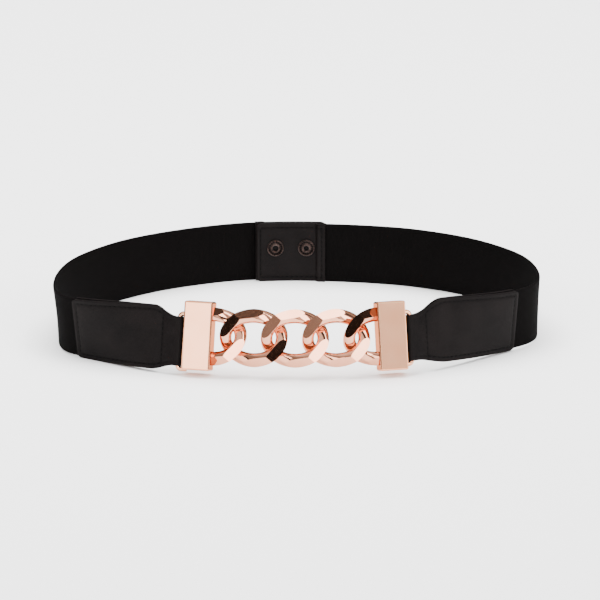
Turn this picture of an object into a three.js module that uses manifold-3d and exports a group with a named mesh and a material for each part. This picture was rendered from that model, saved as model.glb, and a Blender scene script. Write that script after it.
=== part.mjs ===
// Stretch waist belt: two bands of black elastic webbing, each with a folded leather tab at
// its front end, joined at the front by a curb chain between two cast end bars, and at the
// back by two leather closure tabs with a pair of press studs. The belt stands on its lower
// edge as a closed loop. Millimetres, +Z up, front towards -Y.
import * as THREE from "three";
import { mergeVertices } from "three/addons/utils/BufferGeometryUtils.js";
import Module from "manifold-3d";

const wasm = await Module();
wasm.setup();

// Clearance that pieces keep from each other, and that the webbing has inside the leather
const FIT = 0.3;
const POCKET_FIT = 0.45;

// Elastic webbing
const WEB_HEIGHT = 37.2;
const WEB_THICKNESS = 1.4;

// Cells across the height of every strip, and the turns of a front and of a closure fold
const STRIP_CELLS = 3;
const TAB_FOLD_TURNS = 8;
const CLOSURE_FOLD_TURNS = 6;

// Spacing of the stations along the strips: where a tab narrows, inside a tab, round the turn
// into the side, round the back, and on the closure tabs and their steps
const NECK_STATION = 1.7;
const TAB_STATION = 3;
const TURN_STATION = 2.4;
const ROUND_STATION = 7;
const CLOSURE_STATION = 4;
const STEP_STATION = 0.8;

// Leather: the height is the front tabs', the closure tabs are as high as the webbing
const LEATHER_HEIGHT = 37.8;
const LEATHER_THICKNESS = 1.1;

// Front tabs, measured from the bail that they fold round. Their lengths are with the sides.
const TAB_CORNER = 3;
const NECK_BOTTOM_RISE = 3;
const NECK_LENGTH = 1.5;
const SEAM_FROM_BAIL = 9;
const SEAM_GAP = 0.5;
const WEB_START = 17;

// Curb links: centreline half axes, saddle height and wire section
const LINK_PITCH = 24.2;
const LINK_HALF_LENGTH = 16.6;
const LINK_HALF_HEIGHT = 13;
const LINK_SADDLE = 3.7;
const WIRE_WIDTH = 8.3;
const WIRE_END_WIDTH = 7;
const WIRE_FACE = 4.2;
const WIRE_THICKNESS = 4.5;
const LINK_COUNT = 3;
const LINK_STEPS = 40;
const HALF_LINK_ROOT = 3;

// Cast end bars
const BAR_WIDTH = 17;
const BAR_HEIGHT = 40.6;
const BAR_DEPTH = 11.5;
const BAR_CHAMFER = 0.8;

// Bail on the outer side of each bar
const BAIL_WIRE = 2.8;
const BAIL_REACH = 4.5;
const BAIL_CORNER = 2;
const BAIL_SIDES = 10;
const BAIL_ROOT = 2;
const BAIL_STEPS = 40;

// The whole loop in plan. The stiff tabs hold the chain and its bars a little off the ground.
// The width and depth are those of the strap's middle line, and the right half is a little
// wider than the left. The last three shape the turn from a front tab into the side, and how
// far each route runs on past the middle of the back.
const FRONT_RADIUS = 263;
const FRONT_LEAN = 15;
const FRONT_LIFT = 1.8;
const LOOP_WIDTH = 289;
const LOOP_DEPTH = 208.5;
const LOOP_ASKEW = 1.7;
const LEAVE_SHARE = 0.32;
const ARRIVE_SHARE = 0.5;
const PAST_MIDDLE = 8;

// Closure tabs and press studs at the back
const CLOSURE_LENGTH = 44;
const CLOSURE_OFFSET = 2.8;
const CLOSURE_INSERT = 4;
const CLOSURE_CORNER = 3.5;
const CLOSURE_GAP = 0.4;
const CLOSURE_TAPER = 1.8;
const SHIFT_RUN = 60;
const STUD_SPACING = 0.45 * CLOSURE_LENGTH;
const STUD_RISE = 3;
const STUD_POST_RADIUS = 2.4;
const STUD_RING_RADIUS = 5.5;
const STUD_RING_HEIGHT = 1.5;
const STUD_EYE_RADIUS = 1.9;
const STUD_HEAD_LIP = 0.2;
const STUD_HEAD_DEPTH = 2.4;
const SOCKET_RADIUS = 4;
const CAP_RADIUS = 6.2;
const CAP_HEIGHT = 1.6;
const TURNED_SIDES = 24;

// What differs between the two sides: the tab's length, its headings at the bail and at its
// end, in degrees from the front plane, how far its middle hangs below the bar's, how far its
// top edge comes down to the bail and over what length, how far its end is off the ground,
// the leans of its end and of the webbing where the belt is widest, the distance from the
// middle to there, and how deep the round back is
const SIDES = {
  left: {
    sign: -1,
    tabLength: 67.5,
    tabStart: 19,
    tabEnd: 33,
    tabDrop: 2.5,
    neckTopDrop: 5.8,
    taperLength: 14,
    tabEndLift: 0,
    tabEndLean: -9,
    sideLean: -4,
    halfWidth: LOOP_WIDTH / 2 - LOOP_ASKEW,
    backDepth: 133,
  },
  right: {
    sign: 1,
    tabLength: 74.5,
    tabStart: 28,
    tabEnd: 40,
    tabDrop: -0.5,
    neckTopDrop: 7.7,
    taperLength: 20,
    tabEndLift: 1,
    tabEndLean: -6,
    sideLean: -1.5,
    halfWidth: LOOP_WIDTH / 2 + LOOP_ASKEW,
    backDepth: 123,
  },
};

const rad = THREE.MathUtils.degToRad;
const smooth = (value, from, to) => THREE.MathUtils.smoothstep(value, from, to);
const mix = THREE.MathUtils.lerp;

const wrapRadius = BAIL_WIRE / 2 + FIT;
const webGap = WEB_THICKNESS / 2 + POCKET_FIT;
const tabHalfThickness = webGap + LEATHER_THICKNESS;
const closureShift = tabHalfThickness + CLOSURE_GAP / 2;

// A closed solid through a row of rings, each an even list of as many points
function loft(rings, closed = false) {
  const count = rings[0].length;
  const positions = [];
  const index = [];
  rings.forEach((ring) => ring.forEach((p) => positions.push(p.x, p.y, p.z)));
  const spans = closed ? rings.length : rings.length - 1;
  for (let i = 0; i < spans; i++) {
    const here = i * count;
    const next = ((i + 1) % rings.length) * count;
    for (let j = 0; j < count; j++) {
      const k = (j + 1) % count;
      index.push(here + j, here + k, next + k, here + j, next + k, next + j);
    }
  }
  if (!closed) {
    const last = (rings.length - 1) * count;
    for (let j = 0; j < count / 2 - 1; j++) {
      const k = count - 1 - j;
      index.push(j + 1, j, k, j + 1, k, k - 1);
      index.push(last + j, last + j + 1, last + k, last + k, last + j + 1, last + k - 1);
    }
  }
  const geometry = new THREE.BufferGeometry();
  geometry.setAttribute("position", new THREE.Float32BufferAttribute(positions, 3));
  geometry.setIndex(index);
  return outward(geometry);
}

// The same geometry with its faces turned outwards
function outward(geometry) {
  const at = geometry.getAttribute("position");
  const index = geometry.index.array;
  const [a, b, c] = [new THREE.Vector3(), new THREE.Vector3(), new THREE.Vector3()];
  let volume = 0;
  for (let i = 0; i < index.length; i += 3) {
    a.fromBufferAttribute(at, index[i]);
    b.fromBufferAttribute(at, index[i + 1]);
    c.fromBufferAttribute(at, index[i + 2]);
    volume += a.dot(b.cross(c));
  }
  if (volume < 0) index.reverse();
  geometry.computeVertexNormals();
  return geometry;
}

function toSolid(geometry, matrix = new THREE.Matrix4()) {
  const bare = geometry.clone().applyMatrix4(matrix);
  bare.deleteAttribute("normal");
  bare.deleteAttribute("uv");
  const merged = mergeVertices(bare, 1e-4);
  return new wasm.Manifold(
    new wasm.Mesh({
      numProp: 3,
      vertProperties: merged.getAttribute("position").array,
      triVerts: new Uint32Array(merged.index.array),
    }),
  );
}

function toGeometry(solid) {
  const mesh = solid.getMesh();
  const geometry = new THREE.BufferGeometry();
  const positions = new THREE.Float32BufferAttribute(mesh.vertProperties, 3);
  geometry.setAttribute("position", positions);
  geometry.setIndex(Array.from(mesh.triVerts));
  geometry.computeVertexNormals();
  return geometry;
}

// Placing of a piece of the front hardware on the front arc: local x runs along the chain,
// y up the leaning face and z out of the face
function frontFrame(along) {
  const yaw = along / FRONT_RADIUS;
  const lean = rad(FRONT_LEAN);
  const tangent = new THREE.Vector3(Math.cos(yaw), Math.sin(yaw), 0);
  const out = new THREE.Vector3(Math.sin(yaw), -Math.cos(yaw), 0);
  const up = new THREE.Vector3(0, 0, Math.cos(lean)).addScaledVector(out, -Math.sin(lean));
  const face = new THREE.Vector3().crossVectors(tangent, up);
  const halfHeight = (BAR_HEIGHT * Math.cos(lean) + BAR_DEPTH * Math.sin(lean)) / 2;
  const origin = new THREE.Vector3(
    FRONT_RADIUS * Math.sin(yaw),
    FRONT_RADIUS * (1 - Math.cos(yaw)),
    FRONT_LIFT + halfHeight,
  );
  return { origin, tangent, up, face, out };
}

function placeOnFront(mesh, along) {
  const { origin, tangent, up, face } = frontFrame(along);
  mesh.position.copy(origin);
  const turn = new THREE.Matrix4().makeBasis(tangent, up, face);
  mesh.quaternion.setFromRotationMatrix(turn);
  return mesh;
}

// One ring of the link's wire at angle t: a flattened hexagon, sheared onto the saddle
// z = -k x y, so that each link passes over its neighbour on one side and under on the other
function wireRing(t, straight = 0) {
  const [a, b] = [LINK_HALF_LENGTH, LINK_HALF_HEIGHT];
  const slope = (2 * LINK_SADDLE) / (a * b);
  const outX = b * Math.cos(t);
  const outY = a * Math.sin(t);
  const long = Math.hypot(outX, outY);
  const width = mix(WIRE_WIDTH, WIRE_END_WIDTH, Math.cos(t) ** 2);
  const [w, f, h] = [width / 2, (WIRE_FACE / 2) * (width / WIRE_WIDTH), WIRE_THICKNESS / 2];
  const section = [[-w, 0], [-f, h], [f, h], [w, 0], [f, -h], [-f, -h]];
  return section.map(([u, v]) => {
    const x = a * Math.cos(t) + (u * outX) / long;
    const y = b * Math.sin(t) + (u * outY) / long;
    return new THREE.Vector3(x + straight, y, v - slope * x * y);
  });
}

function linkGeometry() {
  const rings = [];
  for (let i = 0; i < LINK_STEPS; i++) rings.push(wireRing((2 * Math.PI * i) / LINK_STEPS));
  return loft(rings, true);
}

// Half a link on a bar's inner side, its arms run on into the bar. sign is the bar's side.
function halfLinkGeometry(sign) {
  const steps = LINK_STEPS / 2;
  const middle = sign < 0 ? 0 : Math.PI;
  const rings = [];
  for (let i = 0; i <= steps; i++) {
    rings.push(wireRing(middle - Math.PI / 2 + (Math.PI * i) / steps));
  }
  rings.unshift(wireRing(middle - Math.PI / 2, sign * HALF_LINK_ROOT));
  rings.push(wireRing(middle + Math.PI / 2, sign * HALF_LINK_ROOT));
  return loft(rings);
}

function bailSpan({ tabDrop, neckTopDrop }) {
  const top = LEATHER_HEIGHT / 2 - neckTopDrop - tabDrop + FIT;
  const bottom = -LEATHER_HEIGHT / 2 + NECK_BOTTOM_RISE - tabDrop - FIT;
  return { top: top + BAIL_WIRE / 2, bottom: bottom - BAIL_WIRE / 2 };
}

// Round wire loop, open towards the bar, that the leather tab folds round
function bailGeometry(side) {
  const { sign } = side;
  const { top, bottom } = bailSpan(side);
  const rootX = sign * (BAR_WIDTH / 2 - BAIL_ROOT);
  const legX = sign * (BAR_WIDTH / 2 + BAIL_REACH);
  const bendX = legX - sign * BAIL_CORNER;
  const at = (x, y) => new THREE.Vector3(x, y, 0);
  const path = new THREE.CurvePath();
  const corner = (from, point, to) => new THREE.QuadraticBezierCurve3(from, point, to);
  path.add(new THREE.LineCurve3(at(rootX, top), at(bendX, top)));
  path.add(corner(at(bendX, top), at(legX, top), at(legX, top - BAIL_CORNER)));
  path.add(new THREE.LineCurve3(at(legX, top - BAIL_CORNER), at(legX, bottom + BAIL_CORNER)));
  path.add(corner(at(legX, bottom + BAIL_CORNER), at(legX, bottom), at(bendX, bottom)));
  path.add(new THREE.LineCurve3(at(bendX, bottom), at(rootX, bottom)));
  const wire = new THREE.Shape();
  for (let i = 0; i < BAIL_SIDES; i++) {
    const angle = (2 * Math.PI * i) / BAIL_SIDES;
    const [x, y] = [(BAIL_WIRE / 2) * Math.cos(angle), (BAIL_WIRE / 2) * Math.sin(angle)];
    if (i === 0) wire.moveTo(x, y);
    else wire.lineTo(x, y);
  }
  wire.closePath();
  return new THREE.ExtrudeGeometry(wire, { steps: BAIL_STEPS, extrudePath: path, bevelEnabled: false });
}

function blockGeometry() {
  const [w, h] = [BAR_WIDTH / 2 - BAR_CHAMFER, BAR_HEIGHT / 2 - BAR_CHAMFER];
  const outline = new THREE.Shape();
  outline.moveTo(-w, -h);
  outline.lineTo(w, -h);
  outline.lineTo(w, h);
  outline.lineTo(-w, h);
  outline.closePath();
  const block = new THREE.ExtrudeGeometry(outline, {
    depth: BAR_DEPTH - 2 * BAR_CHAMFER,
    bevelEnabled: true,
    bevelSize: BAR_CHAMFER,
    bevelThickness: BAR_CHAMFER,
    bevelSegments: 1,
    steps: 1,
  });
  return block.translate(0, 0, -BAR_DEPTH / 2 + BAR_CHAMFER);
}

// Block, bail and half link are one casting
function barGeometry(side) {
  const innerSide = new THREE.Matrix4().makeTranslation((-side.sign * BAR_WIDTH) / 2, 0, 0);
  const block = toSolid(blockGeometry());
  const bail = toSolid(bailGeometry(side));
  const halfLink = toSolid(halfLinkGeometry(side.sign), innerSide);
  return toGeometry(block.add(bail).add(halfLink));
}

const barAlong = ((LINK_COUNT + 1) / 2) * LINK_PITCH + BAR_WIDTH / 2;

// Where a tab's middle line meets the bail's leg, with the mirror taken off
function tabRoot(side) {
  const frame = frontFrame(barAlong);
  const point = frame.origin
    .clone()
    .addScaledVector(frame.tangent, BAR_WIDTH / 2 + BAIL_REACH)
    .addScaledVector(frame.up, -side.tabDrop);
  return { point, out: frame.out };
}

const heading = (degrees) => new THREE.Vector2(Math.cos(rad(degrees)), Math.sin(rad(degrees)));

// Part of the round back, between two angles, on the ellipse of one side
function backCurve(side, from, to) {
  const centre = LOOP_DEPTH - side.backDepth;
  return new THREE.EllipseCurve(0, centre, side.halfWidth, side.backDepth, from, to, false, 0);
}

// The loop in plan, from the bail round the side to past the middle of the back. Both sides
// are drawn as the right one and mirrored later. Past the middle each follows the other's
// ellipse, so that the closure tabs lie parallel.
function makeRoute(side, other) {
  const { point } = tabRoot(side);
  const start = new THREE.Vector2(point.x, point.y);
  const bend = start.clone().addScaledVector(heading(side.tabStart), side.tabLength / 2);
  const end = bend.clone().addScaledVector(heading(side.tabEnd), side.tabLength / 2);
  const widest = new THREE.Vector2(side.halfWidth, LOOP_DEPTH - side.backDepth);
  const reach = end.distanceTo(widest);
  const leave = end.clone().addScaledVector(heading(side.tabEnd), reach * LEAVE_SHARE);
  const arrive = widest.clone().addScaledVector(heading(90), -reach * ARRIVE_SHARE);
  const pastMiddle = (CLOSURE_LENGTH / 2 + CLOSURE_OFFSET + PAST_MIDDLE) / side.halfWidth;
  const path = new THREE.CurvePath();
  path.add(new THREE.QuadraticBezierCurve(start, bend, end));
  path.add(new THREE.CubicBezierCurve(end, leave, arrive, widest));
  path.add(backCurve(side, 0, Math.PI / 2));
  path.add(backCurve(other, Math.PI / 2, Math.PI / 2 + pastMiddle));
  const [, toWidest, toMiddle, total] = path.getCurveLengths();
  return { side, path, total, widest: toWidest, middle: toMiddle };
}

// Middle line, outward direction and up direction of the strap, at a distance along a route
function strapFrame(route, along) {
  const step = 0.5;
  const within = THREE.MathUtils.clamp(along, 0, route.total);
  const near = Math.min(Math.max(within, step), route.total - step);
  const before = route.path.getPoint((near - step) / route.total);
  const after = route.path.getPoint((near + step) / route.total);
  const ahead = after.sub(before).normalize();
  const spot = route.path.getPoint(within / route.total).addScaledVector(ahead, along - within);
  const tangent = new THREE.Vector3(ahead.x, ahead.y, 0);
  const normal = new THREE.Vector3(ahead.y, -ahead.x, 0);
  const root = tabRoot(route.side);
  const held = 1 - smooth(along, 0, route.side.tabLength);
  const toSide = smooth(along, route.side.tabLength, route.widest);
  const toBack = smooth(along, route.widest, route.middle - CLOSURE_LENGTH / 2 - CLOSURE_OFFSET);
  const degrees = mix(mix(route.side.tabEndLean, route.side.sideLean, toSide), 0, toBack);
  const up = new THREE.Vector3(0, 0, 1)
    .addScaledVector(root.out, -Math.tan(rad(FRONT_LEAN)) * held)
    .addScaledVector(normal, -Math.tan(rad(degrees)) * (1 - held))
    .normalize();
  const out = new THREE.Vector3().crossVectors(tangent, up).normalize();
  const tilt = Math.abs(Math.sin(rad(degrees)));
  const edge = mix(LEATHER_HEIGHT, WEB_HEIGHT, toBack) * up.z + 2 * tabHalfThickness * tilt;
  const rest = edge / 2 + mix(route.side.tabEndLift, 0, toBack);
  const height = mix(rest, root.point.z, held);
  return { origin: new THREE.Vector3(spot.x, spot.y, height), up, out, tangent };
}

function strapPoint(route, along, off, height) {
  const { origin, up, out } = strapFrame(route, along);
  const point = origin.addScaledVector(out, off).addScaledVector(up, height);
  point.x *= route.side.sign;
  return point;
}

// Solid of a strip from rows of {along, off} pairs on its two faces, with top and bottom
function stripGeometry(route, rows) {
  const rises = spread(0, 1, 1 / STRIP_CELLS);
  return loft(
    rows.map(({ one, two, top, bottom }) => [
      ...rises.map((rise) => strapPoint(route, one.along, one.off, mix(bottom, top, rise))),
      ...rises.map((rise) => strapPoint(route, two.along, two.off, mix(top, bottom, rise))),
    ]),
  );
}

// How far a corner of the given radius takes the edge in, at a distance from the strip's end
function cornerDrop(fromEnd, radius) {
  if (fromEnd >= radius) return 0;
  return radius - Math.sqrt(radius ** 2 - (radius - fromEnd) ** 2);
}

const CORNER_SHARES = [0.02, 0.15, 0.4, 0.7];

function spread(from, to, step) {
  const count = Math.max(1, Math.round((to - from) / step));
  return Array.from({ length: count + 1 }, (_, i) => mix(from, to, i / count));
}

// Front tab: one strip of leather from its outer end, in to the bail, round it and back
function frontTabGeometry(route) {
  const { tabLength: length, neckTopDrop, taperLength } = route.side;
  const gapAt = (along) => {
    const pinch = mix(wrapRadius, SEAM_GAP / 2, smooth(along, 0, SEAM_FROM_BAIL));
    return mix(pinch, webGap, smooth(along, SEAM_FROM_BAIL, WEB_START - 1));
  };
  const edgesAt = (along) => {
    const neck = 1 - smooth(along, NECK_LENGTH, NECK_LENGTH + taperLength);
    const drop = cornerDrop(length - along, TAB_CORNER);
    return {
      top: LEATHER_HEIGHT / 2 - neckTopDrop * neck - drop,
      bottom: -LEATHER_HEIGHT / 2 + NECK_BOTTOM_RISE * neck + drop,
    };
  };
  const leaf = (along, facing) => ({
    one: { along, off: facing * gapAt(along) },
    two: { along, off: facing * (gapAt(along) + LEATHER_THICKNESS) },
    ...edgesAt(along),
  });
  const inner = spread(0, WEB_START, NECK_STATION);
  const outer = spread(WEB_START, length - TAB_CORNER, TAB_STATION).slice(1);
  const corner = CORNER_SHARES.map((share) => length - TAB_CORNER * share).reverse();
  const stops = [...inner, ...outer, ...corner];
  const front = stops.map((along) => leaf(along, 1)).reverse();
  const back = stops.map((along) => leaf(along, -1));
  const fold = [];
  for (let i = 1; i < TAB_FOLD_TURNS; i++) {
    const angle = (Math.PI * i) / TAB_FOLD_TURNS;
    const on = (radius) => ({ along: -radius * Math.sin(angle), off: radius * Math.cos(angle) });
    fold.push({ one: on(wrapRadius), two: on(wrapRadius + LEATHER_THICKNESS), ...edgesAt(0) });
  }
  return stripGeometry(route, [...front, ...fold, ...back]);
}

function closureStart({ side, middle }) {
  return middle + side.sign * CLOSURE_OFFSET - CLOSURE_LENGTH / 2;
}

// The webbing steps off the middle line where the two closure tabs overlap
function shiftAt(route, along) {
  const start = closureStart(route);
  return -route.side.sign * closureShift * smooth(along, start - SHIFT_RUN, start);
}

function webGeometry(route) {
  const end = closureStart(route) + CLOSURE_INSERT;
  const row = (along) => {
    const shift = shiftAt(route, along);
    return {
      one: { along, off: shift - WEB_THICKNESS / 2 },
      two: { along, off: shift + WEB_THICKNESS / 2 },
      top: WEB_HEIGHT / 2,
      bottom: -WEB_HEIGHT / 2,
    };
  };
  const tabCorner = route.side.tabLength - TAB_CORNER;
  const inTab = spread(WEB_START, tabCorner, TAB_STATION);
  const corner = spread(tabCorner, route.widest, TURN_STATION).slice(1);
  const round = spread(route.widest, end, ROUND_STATION).slice(1);
  return stripGeometry(route, [...inTab, ...corner, ...round].map(row));
}

// Closure tab: leather folded at its free end, open for the webbing at the other. The face
// towards the other tab stays flat, and the far leaf comes down to it beyond the webbing.
function closureTabGeometry(route) {
  const start = closureStart(route);
  const free = start + CLOSURE_LENGTH;
  const foldRadius = SEAM_GAP / 2 + LEATHER_THICKNESS;
  const foldAt = free - foldRadius;
  const edgesAt = (along) => {
    const drop = cornerDrop(free - along, CLOSURE_CORNER);
    return { top: WEB_HEIGHT / 2 - drop, bottom: -WEB_HEIGHT / 2 + drop };
  };
  const slotEnd = start + CLOSURE_INSERT + FIT;
  const row = (along, near, far) => ({
    one: { along, off: -route.side.sign * near },
    two: { along, off: -route.side.sign * far },
    ...edgesAt(along),
  });
  const nearRow = (along) => row(along, CLOSURE_GAP / 2 + LEATHER_THICKNESS, CLOSURE_GAP / 2);
  const farRow = (along) => {
    const open = 1 - smooth(along, slotEnd, slotEnd + CLOSURE_TAPER);
    const inner = CLOSURE_GAP / 2 + LEATHER_THICKNESS + mix(SEAM_GAP, 2 * webGap, open);
    return row(along, inner, inner + LEATHER_THICKNESS);
  };
  const corner = CORNER_SHARES.map((share) => foldAt - (CLOSURE_CORNER - foldRadius) * share);
  const stops = [
    ...spread(start, slotEnd, TAB_STATION),
    ...spread(slotEnd, slotEnd + CLOSURE_TAPER, STEP_STATION).slice(1),
    ...spread(slotEnd + CLOSURE_TAPER, foldAt - CLOSURE_CORNER, CLOSURE_STATION).slice(1),
    ...corner.reverse(),
  ];
  const fold = [];
  for (let i = 0; i <= CLOSURE_FOLD_TURNS; i++) {
    const angle = (Math.PI * i) / CLOSURE_FOLD_TURNS;
    const at = (radius) => foldAt + radius * Math.sin(angle);
    const off = (radius) => CLOSURE_GAP / 2 + foldRadius - radius * Math.cos(angle);
    const edges = edgesAt(Math.min(at(foldRadius), free - 0.1));
    fold.push({
      one: { along: at(SEAM_GAP / 2), off: -route.side.sign * off(SEAM_GAP / 2) },
      two: { along: at(foldRadius), off: -route.side.sign * off(foldRadius) },
      ...edges,
    });
  }
  return stripGeometry(route, [...stops.map(nearRow), ...fold, ...stops.map(farRow).reverse()]);
}

// Turned piece on a closure: local y points into the loop, y = 0 lies between the two tabs
function turnedGeometry(profile) {
  const points = profile.map(([radius, y]) => new THREE.Vector2(radius, y));
  return mergeVertices(bareGeometry(new THREE.LatheGeometry(points, TURNED_SIDES)), 1e-4);
}

function bareGeometry(geometry) {
  geometry.deleteAttribute("normal");
  geometry.deleteAttribute("uv");
  return geometry;
}

const tabNear = CLOSURE_GAP / 2;
const tabFar = CLOSURE_GAP / 2 + 2 * LEATHER_THICKNESS + SEAM_GAP;

// Ring, tubular post and round head that snaps into the socket
function studGeometry() {
  const seat = tabFar + FIT;
  const top = seat + STUD_RING_HEIGHT;
  const head = STUD_POST_RADIUS + STUD_HEAD_LIP;
  return turnedGeometry([
    [0, -STUD_HEAD_DEPTH],
    [head - 0.6, -STUD_HEAD_DEPTH],
    [head, -STUD_HEAD_DEPTH + 0.5],
    [head, -0.8],
    [STUD_POST_RADIUS, -0.3],
    [STUD_POST_RADIUS, seat],
    [STUD_RING_RADIUS, seat],
    [STUD_RING_RADIUS, top - 0.7],
    [STUD_RING_RADIUS - 0.9, top],
    [STUD_EYE_RADIUS + 0.7, top],
    [STUD_EYE_RADIUS, top - 0.6],
    [STUD_EYE_RADIUS, tabNear + 2],
    [0, tabNear + 2],
  ]);
}

// Socket barrel with a plain domed cap on the outside of the belt
function socketGeometry() {
  const seat = -tabFar - FIT;
  const bore = STUD_POST_RADIUS + STUD_HEAD_LIP + FIT;
  const floor = -STUD_HEAD_DEPTH - FIT;
  return turnedGeometry([
    [0, seat - CAP_HEIGHT],
    [CAP_RADIUS * 0.55, seat - CAP_HEIGHT * 0.9],
    [CAP_RADIUS * 0.9, seat - CAP_HEIGHT * 0.5],
    [CAP_RADIUS, seat - 0.3],
    [CAP_RADIUS, seat],
    [SOCKET_RADIUS, seat],
    [SOCKET_RADIUS, -tabNear - FIT],
    [bore, -tabNear - FIT],
    [bore, floor],
    [0, floor],
  ]);
}

function closureFrame(route, position) {
  const along = route.middle + route.side.sign * (CLOSURE_OFFSET + position);
  const { origin, up, out } = strapFrame(route, along);
  origin.addScaledVector(up, STUD_RISE);
  origin.x *= route.side.sign;
  out.x *= route.side.sign;
  const inward = out.clone().negate();
  const across = new THREE.Vector3().crossVectors(inward, up).normalize();
  return new THREE.Matrix4().makeBasis(across, inward, up).setPosition(origin);
}

function pierced(geometry, route, radius) {
  let solid = toSolid(geometry);
  for (const position of [-STUD_SPACING / 2, STUD_SPACING / 2]) {
    const length = 4 * tabFar;
    const punch = new THREE.CylinderGeometry(radius, radius, length, TURNED_SIDES);
    solid = solid.subtract(toSolid(punch, closureFrame(route, position)));
  }
  return toGeometry(solid);
}

const rose = new THREE.MeshStandardMaterial({ color: 0xe6b89a, roughness: 0.12, metalness: 1 });
const satinRose = new THREE.MeshStandardMaterial({ color: 0xecc6ad, roughness: 0.3, metalness: 1 });
const webbing = new THREE.MeshStandardMaterial({ color: 0x0e0d0e, roughness: 0.95 });
const leather = new THREE.MeshStandardMaterial({ color: 0x211f1e, roughness: 0.55 });
const gunmetal = new THREE.MeshStandardMaterial({ color: 0x4a3d3a, roughness: 0.4, metalness: 1 });

const belt = new THREE.Group();

function add(name, geometry, material) {
  const mesh = new THREE.Mesh(geometry, material);
  mesh.name = name;
  belt.add(mesh);
  return mesh;
}

const routes = {
  left: makeRoute(SIDES.left, SIDES.right),
  right: makeRoute(SIDES.right, SIDES.left),
};

for (const [name, route] of Object.entries(routes)) {
  const { sign } = route.side;
  placeOnFront(add(`bar_${name}`, barGeometry(route.side), satinRose), sign * barAlong);
  add(`front_tab_${name}`, frontTabGeometry(route), leather);
  add(`webbing_${name}`, webGeometry(route), webbing);
}

for (let i = 0; i < LINK_COUNT; i++) {
  const along = (i - (LINK_COUNT - 1) / 2) * LINK_PITCH;
  placeOnFront(add(`link_${i + 1}`, linkGeometry(), rose), along);
}

const innerTab = closureTabGeometry(routes.right);
const outerTab = closureTabGeometry(routes.left);
add("closure_tab_inner", pierced(innerTab, routes.right, STUD_POST_RADIUS + FIT), leather);
add("closure_tab_outer", pierced(outerTab, routes.right, SOCKET_RADIUS + FIT), leather);

[-STUD_SPACING / 2, STUD_SPACING / 2].forEach((position, i) => {
  const frame = closureFrame(routes.right, position);
  add(`stud_${i + 1}`, studGeometry(), gunmetal).applyMatrix4(frame);
  add(`socket_${i + 1}`, socketGeometry(), gunmetal).applyMatrix4(frame);
});

// The origin is at the middle of the belt's box, on the surface that it stands on
const bounds = new THREE.Box3().setFromObject(belt, true);
belt.position.set(
  -(bounds.min.x + bounds.max.x) / 2,
  -(bounds.min.y + bounds.max.y) / 2,
  -bounds.min.z,
);

const root = new THREE.Group();
root.add(belt);

export default root;
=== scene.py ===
import math

import bpy
from mathutils import Matrix, Vector


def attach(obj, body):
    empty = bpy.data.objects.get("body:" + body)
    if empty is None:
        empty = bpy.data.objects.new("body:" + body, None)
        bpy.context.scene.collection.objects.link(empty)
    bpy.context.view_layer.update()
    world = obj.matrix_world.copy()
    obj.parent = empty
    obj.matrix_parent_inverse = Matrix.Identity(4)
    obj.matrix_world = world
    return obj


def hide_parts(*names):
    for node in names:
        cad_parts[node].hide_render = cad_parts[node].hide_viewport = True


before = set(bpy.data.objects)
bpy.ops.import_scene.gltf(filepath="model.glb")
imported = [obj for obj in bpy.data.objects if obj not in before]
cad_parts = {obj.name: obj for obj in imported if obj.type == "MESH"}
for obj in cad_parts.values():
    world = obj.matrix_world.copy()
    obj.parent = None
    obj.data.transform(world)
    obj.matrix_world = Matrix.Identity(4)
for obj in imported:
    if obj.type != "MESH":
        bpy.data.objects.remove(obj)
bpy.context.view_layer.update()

MM = 0.001

# The source draws the belt round its own origin and centres it at the end
CENTRING = Vector((-1.294, -101.727, 0.0))

# Clearance between pieces, and that the webbing has inside the leather
FIT = 0.3
POCKET_FIT = 0.45

# Webbing and leather
WEB_HEIGHT = 37.2
WEB_THICKNESS = 1.4
LEATHER_HEIGHT = 37.8
LEATHER = 1.1

# Front tabs
TAB_CORNER = 3.0
NECK_BOTTOM_RISE = 3.0
NECK_LENGTH = 1.5
SEAM_FROM_BAIL = 9.0
SEAM_GAP = 0.5
WEB_START = 17.0

# Curb links: pitch, half axes, saddle height and wire section. The wire's outline is a
# superellipse, rounder than the source's hexagon.
LINK_PITCH = 24.2
LINK_HALF_LENGTH = 16.6
LINK_HALF_HEIGHT = 13.0
LINK_SADDLE = 3.7
LINK_COUNT = 3
WIRE_WIDTH = 8.3
WIRE_END_WIDTH = 7.0
WIRE_HALF_DEPTH = 3.0
WIRE_FULLNESS = 0.78
LINK_STEPS = 96
WIRE_SIDES = 24
LINK_ROUNDING = 0.13
HALF_LINK_ROOT = 2.0

# Angle round the link, roll and depth of each flat on one half of the face
FLATS = [(104, 26, 1.8), (146, 8, 1.0)]

# End bars with their bails. The bails and the folds round them are drawn in towards the bars.
BAR_WIDTH = 17.0
BAR_HEIGHT = 40.6
BAR_DEPTH = 11.5
BAR_CHAMFER = 0.8
BAR_ROUNDING = 0.14
BAIL_WIRE = 2.8
BAIL_REACH = 4.5
BAIL_DRAWN_IN = 1.2
BAIL_CORNER = 2.0
BAIL_ROOT = 2.0
BAIL_SIDES = 20
BAIL_BEND_STEPS = 8

# The loop in plan. The shares shape the turn from a front tab into the side.
FRONT_RADIUS = 263.0
FRONT_LEAN = 15.0
FRONT_LIFT = 1.8
LOOP_DEPTH = 208.5
LEAVE_SHARE = 0.32
ARRIVE_SHARE = 0.5
CURVE_STEPS = 200

# Closure tabs and press studs
CLOSURE_LENGTH = 44.0
CLOSURE_OFFSET = 2.8
CLOSURE_INSERT = 4.0
CLOSURE_CORNER = 3.5
CLOSURE_GAP = 0.4
CLOSURE_TAPER = 1.8
SHIFT_RUN = 60.0
PAST_MIDDLE = 8.0
STUD_SPACING = 0.45 * CLOSURE_LENGTH
STUD_RISE = 3.0

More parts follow.
